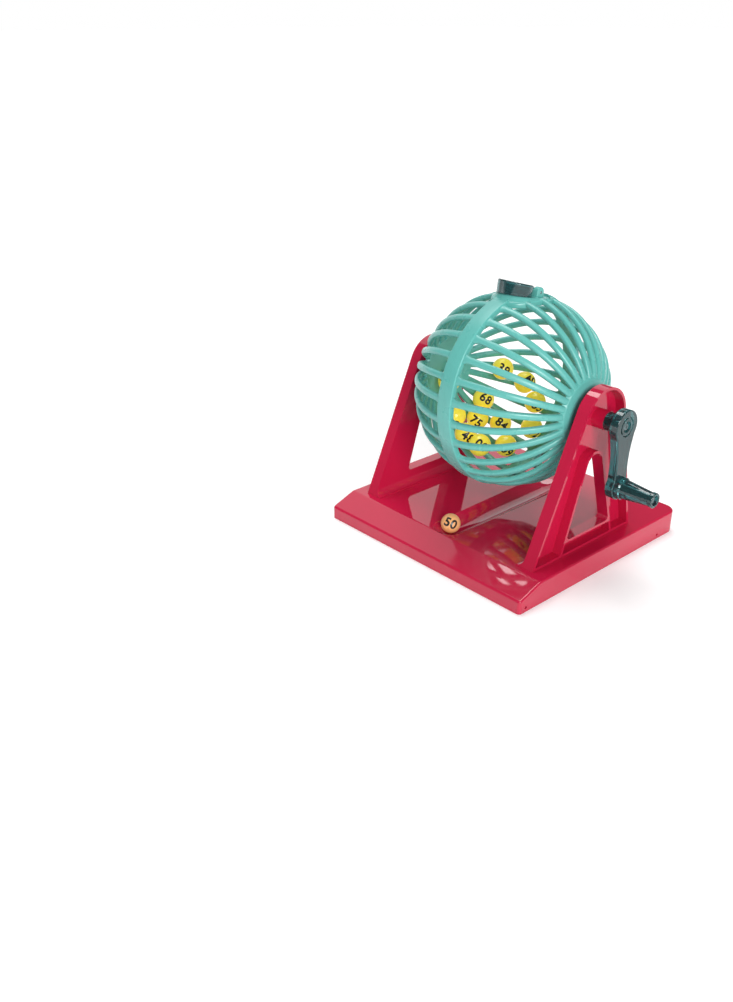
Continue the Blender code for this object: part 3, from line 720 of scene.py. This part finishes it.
def port_saddle(name, side):
    """Half of the rim that the ribs run into round the filling port, level with its collar."""
    inner, width, edge = RADIUS - THICKNESS, SADDLE_WIDTH, 0.0012
    outer = RADIUS - 0.0002
    steps = 6
    spans = [(width * i / steps, i / steps) for i in range(steps)]
    rings = []

    def ring(offset, height_of):
        outline = stadium(COLLAR_HALF_WIDTH + offset, COLLAR_HALF_LENGTH + offset, COLLAR_Y)
        return [(x, y, height_of(math.hypot(x, y))) for x, y in outline]

    def sphere(radius):
        return lambda out: math.sqrt(radius ** 2 - out ** 2)

    def eased(share):
        rise = share * share * (3 - 2 * share)
        level = PORT_PLANE - 0.0009
        return lambda out: level * (1 - rise) + math.sqrt(outer ** 2 - out ** 2) * rise

    rings.append(ring(-0.002, sphere(inner)))
    rings.append(ring(-0.002, eased(0)))
    for offset, share in spans:
        rings.append(ring(offset, eased(share)))
    for turn in (0, 30, 60, 90):
        angle = math.radians(turn)
        reach = width + edge * math.sin(angle)
        rings.append(ring(reach, sphere(outer - edge * (1 - math.cos(angle)))))
    for turn in (90, 60, 30, 0):
        angle = math.radians(turn)
        reach = width + edge * math.sin(angle)
        rings.append(ring(reach, sphere(inner + edge * (1 - math.cos(angle)))))
    saddle = skin(name + "_saddle", rings, PORT_FRAME, closed=True)
    far_side = sorted((-side * 0.1, side * HAIRLINE))
    cut(saddle, box("far_side", (far_side[0], -0.1, 0.15), (far_side[1], 0.1, 0.25)))
    return saddle


def make_globe_half(name, side):
    place = Matrix.Translation(AXLE) @ (AXIS_TO_PLUS_X if side > 0 else AXIS_TO_MINUS_X)
    band_inner = RADIUS - THICKNESS
    band = [(band_inner, HAIRLINE, 0), (BAND_RADIUS, HAIRLINE, 0),
            (BAND_RADIUS, BAND_HALF_WIDTH, 0.0012), (band_inner, BAND_HALF_WIDTH, 0.0012)]
    half = turned(name + "_shell", rounded(band)[::-1], place, 224)
    others = [pole_cap(name + "_cap", place, BOSS_END_X if side < 0 else None),
              port_saddle(name, side)]
    for i in range(RIBS):
        others.append(make_rib(name + "_rib", place, 2 * math.pi * (i + 0.5) / RIBS))
    boolean(half, others, "UNION", "MANIFOLD")
    seat = stadium(COLLAR_HALF_WIDTH + HAIRLINE, COLLAR_HALF_LENGTH + HAIRLINE, COLLAR_Y)
    cut(half, prism(name + "_seat", seat, 0.055, 0.120, PORT_FRAME))
    if side > 0:
        key = KEY_HALF + 0.0002
        cut(half, box(name + "_socket", (SOCKET_FLOOR_X, -key, AXLE.z - key),
                      (0.12, key, AXLE.z + key)))
    return finish(half, TEAL, "globe", "teal_plastic", name, sharp=45, weighted=False)


def ball_of(name, radius, centre, steps=64):
    profile = [(radius * math.cos(math.radians(a)), radius * math.sin(math.radians(a)))
               for a in [90 - 180 * i / (steps // 2) for i in range(steps // 2 + 1)]]
    profile[0], profile[-1] = (0, radius), (0, -radius)
    return turned(name, profile, Matrix.Translation(centre), steps)


def make_collar():
    """The flat plate round the filling port, with two hinge ears behind it."""
    edge, steps, foot = 0.0016, 6, 0.066
    rings = [[(x, y, foot) for x, y in stadium(COLLAR_HALF_WIDTH, COLLAR_HALF_LENGTH, COLLAR_Y)]]
    for i in range(steps + 1):
        angle = math.pi / 2 * i / steps
        inset = edge * (1 - math.cos(angle))
        height = PORT_PLANE - edge * (1 - math.sin(angle))
        rings.append([(x, y, height) for x, y in
                      stadium(COLLAR_HALF_WIDTH - inset, COLLAR_HALF_LENGTH - inset, COLLAR_Y)])
    collar = skin("filling_collar", rings, PORT_FRAME)
    cut(collar, ball_of("collar_inside", RADIUS - THICKNESS, AXLE, 160),
        rod("port", PORT_RADIUS, 0.05, 0.10, PORT_FRAME @ Matrix.Translation((0, LID_Y, 0))))
    for side in (-1, 1):
        foot_z = PORT_PLANE - 0.0006
        ear = (arc((HINGE.y, HINGE.z), EAR_RADIUS, 0, 180, 24)
               + [(HINGE.y - EAR_RADIUS - 0.0006, foot_z), (HINGE.y + EAR_RADIUS + 0.0012, foot_z)])
        lug = prism("hinge_ear", ear, side * EAR_SPAN[0], side * EAR_SPAN[1],
                    PORT_FRAME @ OUTLINE_ACROSS_X)
        add(collar, soften(lug, 0.0013, 4))
    cut(collar, hinge_rod("ear_bore", PIN_RADIUS + HAIRLINE, 0.02))
    return finish(collar, TEAL, "globe", "teal_plastic", "port_collar")


def hinge_rod(name, radius, half_length):
    place = PORT_FRAME @ Matrix.Translation((0, HINGE.y, HINGE.z)) @ AXIS_TO_PLUS_X
    end = min(0.0003, radius / 2)
    profile = [(0, half_length), (radius - end, half_length), (radius, half_length - end),
               (radius, end - half_length), (radius - end, -half_length), (0, -half_length)]
    return turned(name, profile, place, 32)


def make_hinge_pin():
    pin = hinge_rod("hinge_pin", PIN_RADIUS, EAR_SPAN[1])
    return finish(pin, STEEL, "globe", "plated_steel", "lid_hinge_pin")


def make_lid():
    """A clear drum, open below, on a knuckle between the collar's ears."""
    seat, top, wall = PORT_PLANE + 0.0001, PORT_PLANE + LID_HEIGHT, 0.0018
    drum = [(0, top, 0), (LID_RADIUS, top, 0.0014), (LID_RADIUS - 0.0005, seat, 0.0003),
            (LID_RADIUS - wall, seat, 0.0003), (LID_RADIUS - wall, top - wall, 0.0006),
            (0, top - wall, 0)]
    lid = turned("lid_drum", rounded(drum), Matrix())
    for vert in lid.data.vertices:
        share = (vert.co.z - seat) / (top - seat)
        vert.co.z -= share * LID_SLOPE * (vert.co.y + LID_RADIUS)
    lid.data.transform(PORT_FRAME @ Matrix.Translation((0, LID_Y, 0)))
    reach, knuckle = EAR_SPAN[0] - 0.0002, 0.0032
    back = LID_Y + LID_RADIUS - wall / 2
    arm = (arc((HINGE.y, HINGE.z), knuckle, -90, 90, 16)
           + [(back, HINGE.z + knuckle), (back, HINGE.z - knuckle)])
    add(lid, prism("lid_knuckle", arm, -reach, reach, PORT_FRAME @ OUTLINE_ACROSS_X))
    cut(lid, hinge_rod("knuckle_bore", PIN_RADIUS + HAIRLINE, 0.021))
    return finish(lid, SMOKE, "lid", "smoky_clear_plastic", "port_lid")


# ---------------------------------------------------------------- crank

def crank_outline(inset=0.0, steps=20):
    """A round head, a waist and a round end below it, in y and z about the axle."""
    head_z, end_z = -0.008, 0.007 - CRANK_THROW
    head_half = math.sqrt(CRANK_HEAD_RADIUS ** 2 - head_z ** 2)
    end_half = math.sqrt(CRANK_END_RADIUS ** 2 - (end_z + CRANK_THROW) ** 2)
    dip = (head_half + end_half) / 2 - CRANK_WAIST
    side = []
    for i in range(1, steps):
        share = i / steps
        width = head_half + (end_half - head_half) * share - dip * math.sin(math.pi * share)
        side.append((width - inset, head_z + (end_z - head_z) * share))
    head_start = math.degrees(math.atan2(head_z, head_half))
    end_start = math.degrees(math.atan2(end_z + CRANK_THROW, end_half))
    head = arc((0, 0), CRANK_HEAD_RADIUS - inset, head_start, 180 - head_start, 48)
    foot = arc((0, -CRANK_THROW), CRANK_END_RADIUS - inset, 180 - end_start, 360 + end_start, 40)
    return head + [(-y, z) for y, z in side] + foot + side[::-1]


def make_crank():
    place = Matrix.Translation(AXLE)
    axle = place @ AXIS_TO_PLUS_X
    grip_axle = Matrix.Translation(GRIP_AXIS - Vector((GRIP_AXIS.x, 0, 0))) @ AXIS_TO_PLUS_X
    edge, steps = 0.0010, 4
    rings = []
    for sign, face in ((1, CRANK_BACK), (-1, CRANK_FACE)):
        turn = []
        for i in range(steps + 1):
            angle = math.pi / 2 * i / steps
            turn.append([(y, z, face + sign * edge * (1 - math.sin(angle)))
                         for y, z in crank_outline(edge * (1 - math.cos(angle)))])
        rings += turn[::-1] if sign > 0 else turn
    arm = skin("crank_lever", rings, place @ OUTLINE_ACROSS_X)
    inside = CRANK_BACK + 0.001
    add(arm, rod("crank_collar", CRANK_COLLAR_RADIUS, BOSS_END_X + 0.0003, inside, axle),
        rod("crank_shaft", JOURNAL_RADIUS, INNER_X, inside, axle),
        box("crank_key", (KEY_END_X, -KEY_HALF, -KEY_HALF), (inside, KEY_HALF, KEY_HALF), place))
    outer, inner, depth = RING_GROOVE
    ring = [(outer, CRANK_FACE - depth), (outer, CRANK_FACE + 0.01),
            (inner, CRANK_FACE + 0.01), (inner, CRANK_FACE - depth)]
    cut(arm, turned("ring_groove", ring[::-1], axle),
        rod("screw_recess", 0.0048, CRANK_FACE - CRANK_RECESS, 0.2, axle),
        rod("screw_bore", 0.0017, 0.05, 0.2, axle, 32),
        rod("pin_seat", 0.0021, CRANK_BACK + 0.0015, 0.2, grip_axle, 32))
    soften(arm, 0.00025, 2, 40)
    return finish(arm, SMOKE, "globe", "smoky_clear_plastic", "crank_arm")


def make_crank_screw():
    """A pan-head screw with a cross recess."""
    axle = Matrix.Translation(AXLE) @ AXIS_TO_PLUS_X
    head = CRANK_FACE - CRANK_RECESS + 0.0002
    profile = ([(0, head + 0.0018)] + arc((0.0021, head + 0.0002), 0.0016, 80, 0, 8)
               + [(0.0037, head), (SCREW_RADIUS, head), (SCREW_RADIUS, SCREW_POINT_X[0]),
                  (0, SCREW_POINT_X[1])])
    screw = turned("crank_screw_head", profile, axle, 48)
    for turn in (0, 90):
        slot = box("cross", (-0.0019, -0.0003, head + 0.0007), (0.0019, 0.0003, head + 0.01),
                   axle @ Matrix.Rotation(math.radians(turn + 20), 4, "Z"))
        cut(screw, slot)
    return finish(screw, STEEL, "globe", "plated_steel", "crank_screw")


def make_grip():
    """A tapered grip with a thick root, a rim at its tip and a well for the pin's head."""
    root, tip = CRANK_FACE + 0.0003, GRIP_HIGH.x
    well_radius, well_depth = GRIP_WELL
    profile = rounded([
        (well_radius, tip, 0.0004), (GRIP_TIP_RADIUS, tip, 0.0007),
        (GRIP_TIP_RADIUS, tip - 0.0034, 0.0004), (GRIP_TIP_RADIUS - 0.0005, tip - 0.0040, 0.0003),
        (GRIP_ROOT_RADIUS - 0.0011, root + 0.0046, 0.0005),
        (GRIP_ROOT_RADIUS, root + 0.0036, 0.0004),
        (GRIP_ROOT_RADIUS, root, 0.0005), (0.0023, root, 0),
        (0.0023, tip - well_depth, 0), (well_radius, tip - well_depth, 0.0003)], 6)
    place = Matrix.Translation((0, GRIP_AXIS.y, GRIP_AXIS.z)) @ AXIS_TO_PLUS_X
    grip = turned("grip_sleeve", profile, place)
    return finish(grip, SMOKE, "grip", "smoky_clear_plastic", "crank_grip")


def make_grip_pin():
    head = GRIP_HIGH.x - GRIP_WELL[1] + 0.0002
    profile = ([(0, head + 0.0017)] + arc((0.0020, head + 0.0002), 0.0015, 80, 0, 8)
               + [(0.0035, head), (PIN_SHANK_RADIUS, head),
                  (PIN_SHANK_RADIUS, CRANK_BACK + 0.0018),
                  (0, CRANK_BACK + 0.0018)])
    place = Matrix.Translation((0, GRIP_AXIS.y, GRIP_AXIS.z)) @ AXIS_TO_PLUS_X
    rivet = turned("grip_rivet", profile, place, 48)
    return finish(rivet, STEEL, "globe", "plated_steel", "grip_pin")


# ---------------------------------------------------------------- balls

# How far each ball's number is turned from facing the usual viewer: sideways, upwards and about
# its own middle, in degrees
BALL_TURNS = {
    "ball_39": (4, -8, -32), "ball_40": (36, 6, -36), "ball_05": (12, -30, -32),
    "ball_68": (14, 0, -36), "ball_75": (-8, -22, -34), "ball_84": (4, -4, -38),
    "ball_12": (12, -34, -34), "ball_48": (12, -20, -36), "ball_08": (8, -2, -38),
    "ball_09": (6, -34, -40), "ball_33": (-10, -48, -30), "ball_60": (-20, 0, -36),
}
DRAWN_NUMBER = "50"
DRAWN_TURN = (0, 4, -22)
VIEWER = Vector((0.61, -0.70, 0.37))
NUMBER_SIZE = 0.0118             # of the type, on every ball
NUMBER_STEP = 0.0009


def number_outline(text, radius):
    """The number as a flat, finely divided bmesh, centred on the origin."""
    curve = bpy.data.curves.new("number", "FONT")
    curve.body = text
    curve.align_x, curve.align_y = "CENTER", "CENTER"
    curve.size = NUMBER_SIZE
    curve.offset = NUMBER_SIZE * 0.032
    curve.space_character = 1.08
    curve.resolution_u = 6
    source = bpy.data.objects.new("number", curve)
    bpy.context.scene.collection.objects.link(source)
    bpy.context.view_layer.update()
    graph = bpy.context.evaluated_depsgraph_get()
    mesh = bpy.data.meshes.new_from_object(source.evaluated_get(graph))
    bpy.data.objects.remove(source, do_unlink=True)
    work = bmesh.new()
    work.from_mesh(mesh)
    bpy.data.meshes.remove(mesh)
    bmesh.ops.remove_doubles(work, verts=work.verts, dist=1e-6)
    reach = int(radius / NUMBER_STEP)
    for axis in (Vector((1, 0, 0)), Vector((0, 1, 0))):
        for i in range(-reach, reach + 1):
            bmesh.ops.bisect_plane(work, geom=work.verts[:] + work.edges[:] + work.faces[:],
                                   plane_co=axis * (i + 0.37) * NUMBER_STEP, plane_no=axis)
    return work


def wrap(point, radius, out, right, up, lift):
    """A flat point laid over a ball without stretching it along its radius."""
    distance = math.hypot(point.x, point.y)
    if distance < 1e-9:
        return out * (radius + lift)
    angle = distance / radius
    along = (right * point.x + up * point.y) / distance
    return (out * math.cos(angle) + along * math.sin(angle)) * (radius + lift)


def make_ball(node, text, turn, body, plastic):
    low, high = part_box(node)
    centre, radius = (low + high) / 2, (high - low).z / 2
    sideways, upwards, about = (math.radians(a) for a in turn)
    out = VIEWER.normalized()
    out = Matrix.Rotation(sideways, 3, "Z") @ out
    level = out.cross(Vector((0, 0, 1))).normalized() * -1
    out = Matrix.Rotation(-upwards, 3, level) @ out
    up = Matrix.Rotation(about, 3, out) @ (out.cross(level)).normalized()
    right = up.cross(out)

    shell = ball_of(node + "_shell", radius, centre, 72)
    work = bmesh.new()
    work.from_mesh(shell.data)
    print_work = number_outline(text, radius)
    faces = print_work.faces[:]
    raised = bmesh.ops.extrude_face_region(print_work, geom=faces)["geom"]
    tops = {item for item in raised if isinstance(item, bmesh.types.BMVert)}
    for vert in print_work.verts:
        lift = 0.00004 if vert in tops else -0.00012
        vert.co = centre + wrap(vert.co, radius, out, right, up, lift)
    bmesh.ops.recalc_face_normals(print_work, faces=print_work.faces)
    for face in print_work.faces:
        face.material_index = 1
    number = bpy.data.meshes.new("number")
    print_work.to_mesh(number)
    print_work.free()
    work.from_mesh(number)
    work.to_mesh(shell.data)
    work.free()
    shell.data.materials.append(plastic)
    shell.data.materials.append(INK)
    smooth(shell, 50, weighted=False)
    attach(shell, body)
    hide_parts(node)
    return shell


# ---------------------------------------------------------------- studio

SKY = 0.15                                      # how bright the sky is, except to the camera
FRONT_CARDS = (0.14, 0.20, 0.26, 0.32, 0.40)    # heights that together fade out upwards
FRONT_CARD_Y = -2.7
FRONT_CARD_STEP = 0.01
FRONT_CARD_RADIANCE = 0.22
LENS = 35.35
CAMERA_PLACE = (0.53652, -0.65502, 0.43739)
CAMERA_TILT = 63.653                            # from straight down, in degrees
CAMERA_HEADING = 48.162


def make_floor():
    floor = prism("floor", [(-30, -30), (30, -30), (30, 30), (-30, 30)], -0.05, -0.00005)
    recipe = Recipe("pale_floor")
    recipe.tint(recipe.noise(3), (0.80, 0.80, 0.80), (0.78, 0.78, 0.78))
    recipe.spread(recipe.noise(10), 0.7, 0.8, "Roughness")
    recipe.set(Emission_Color=(1, 1, 1, 1), Emission_Strength=0.27)
    floor.data.materials.append(recipe.material)


def direction(azimuth, elevation):
    a, e = math.radians(azimuth), math.radians(elevation)
    return Vector((math.cos(e) * math.cos(a), math.cos(e) * math.sin(a), math.sin(e)))


def make_softbox(name, azimuth, elevation, spread, strength):
    """A far round softbox: its direction, how wide it looks, and how strongly it lights."""
    data = bpy.data.lights.new(name, "SUN")
    data.angle = math.radians(spread)
    data.energy = strength
    lamp = bpy.data.objects.new(name, data)
    lamp.rotation_euler = direction(azimuth, elevation).to_track_quat("Z", "Y").to_euler()
    bpy.context.scene.collection.objects.link(lamp)


def make_card(name, corner, opposite, radiance):
    """A bright upright card at one side, seen only in reflections and by its light."""
    width = math.hypot(opposite[0] - corner[0], opposite[1] - corner[1])
    height = opposite[2] - corner[2]
    data = bpy.data.lights.new(name, "AREA")
    data.shape = "RECTANGLE"
    data.size, data.size_y = width, height
    data.energy = radiance * math.pi * width * height
    lamp = bpy.data.objects.new(name, data)
    lamp.location = (Vector(corner) + Vector(opposite)) / 2
    facing = math.atan2(opposite[0] - corner[0], corner[1] - opposite[1])
    lamp.rotation_euler = (math.radians(90), 0, facing + math.radians(90))
    lamp.visible_camera = False
    bpy.context.scene.collection.objects.link(lamp)


def make_world():
    """White behind everything, and a dimmer sky to light and to be reflected."""
    world = bpy.data.worlds.new("studio")
    world.use_nodes = True
    tree = world.node_tree
    background = tree.nodes["Background"]
    rays = tree.nodes.new("ShaderNodeLightPath")
    choice = tree.nodes.new("ShaderNodeMapRange")
    choice.inputs["To Min"].default_value = SKY
    choice.inputs["To Max"].default_value = 1.0
    tree.links.new(rays.outputs["Is Camera Ray"], choice.inputs["Value"])
    tree.links.new(choice.outputs["Result"], background.inputs["Strength"])
    background.inputs["Color"].default_value = (1, 1, 1, 1)
    bpy.context.scene.world = world


def make_studio():
    make_world()
    make_softbox("overhead", 150, 72, 37.6, 2.0)
    make_softbox("key", -30, 22, 30, 2.7)
    make_card("rear_card", (-2.7, -0.3, 0.0), (-2.7, 4.24, 3.7), 0.95)
    for i, height in enumerate(FRONT_CARDS):
        y = FRONT_CARD_Y - FRONT_CARD_STEP * i
        make_card("front_card_%d" % i, (-1.2, y, 0.0), (-3.6, y, height),
                  FRONT_CARD_RADIANCE)
    bpy.context.scene.view_settings.view_transform = "Standard"


def make_camera():
    data = bpy.data.cameras.new("camera")
    data.lens = LENS
    data.sensor_width = 36
    data.clip_start = 0.01
    camera = bpy.data.objects.new("camera", data)
    camera.location = CAMERA_PLACE
    camera.rotation_euler = (math.radians(CAMERA_TILT), 0, math.radians(CAMERA_HEADING))
    bpy.context.scene.collection.objects.link(camera)
    bpy.context.scene.camera = camera


# ---------------------------------------------------------------- making

make_camera()
make_studio()
make_floor()
make_tray()
make_upright("upright_left", -1)
make_upright("upright_right", 1)
make_globe_half("globe_half_left", -1)
make_globe_half("globe_half_right", 1)
make_collar()
make_hinge_pin()
make_lid()
make_crank()
make_crank_screw()
make_grip()
make_grip_pin()
for ball_node, ball_turn in BALL_TURNS.items():
    make_ball(ball_node, ball_node[-2:], ball_turn, "balls", YELLOW)
make_ball("drawn_ball", DRAWN_NUMBER, DRAWN_TURN, "drawn", ORANGE)
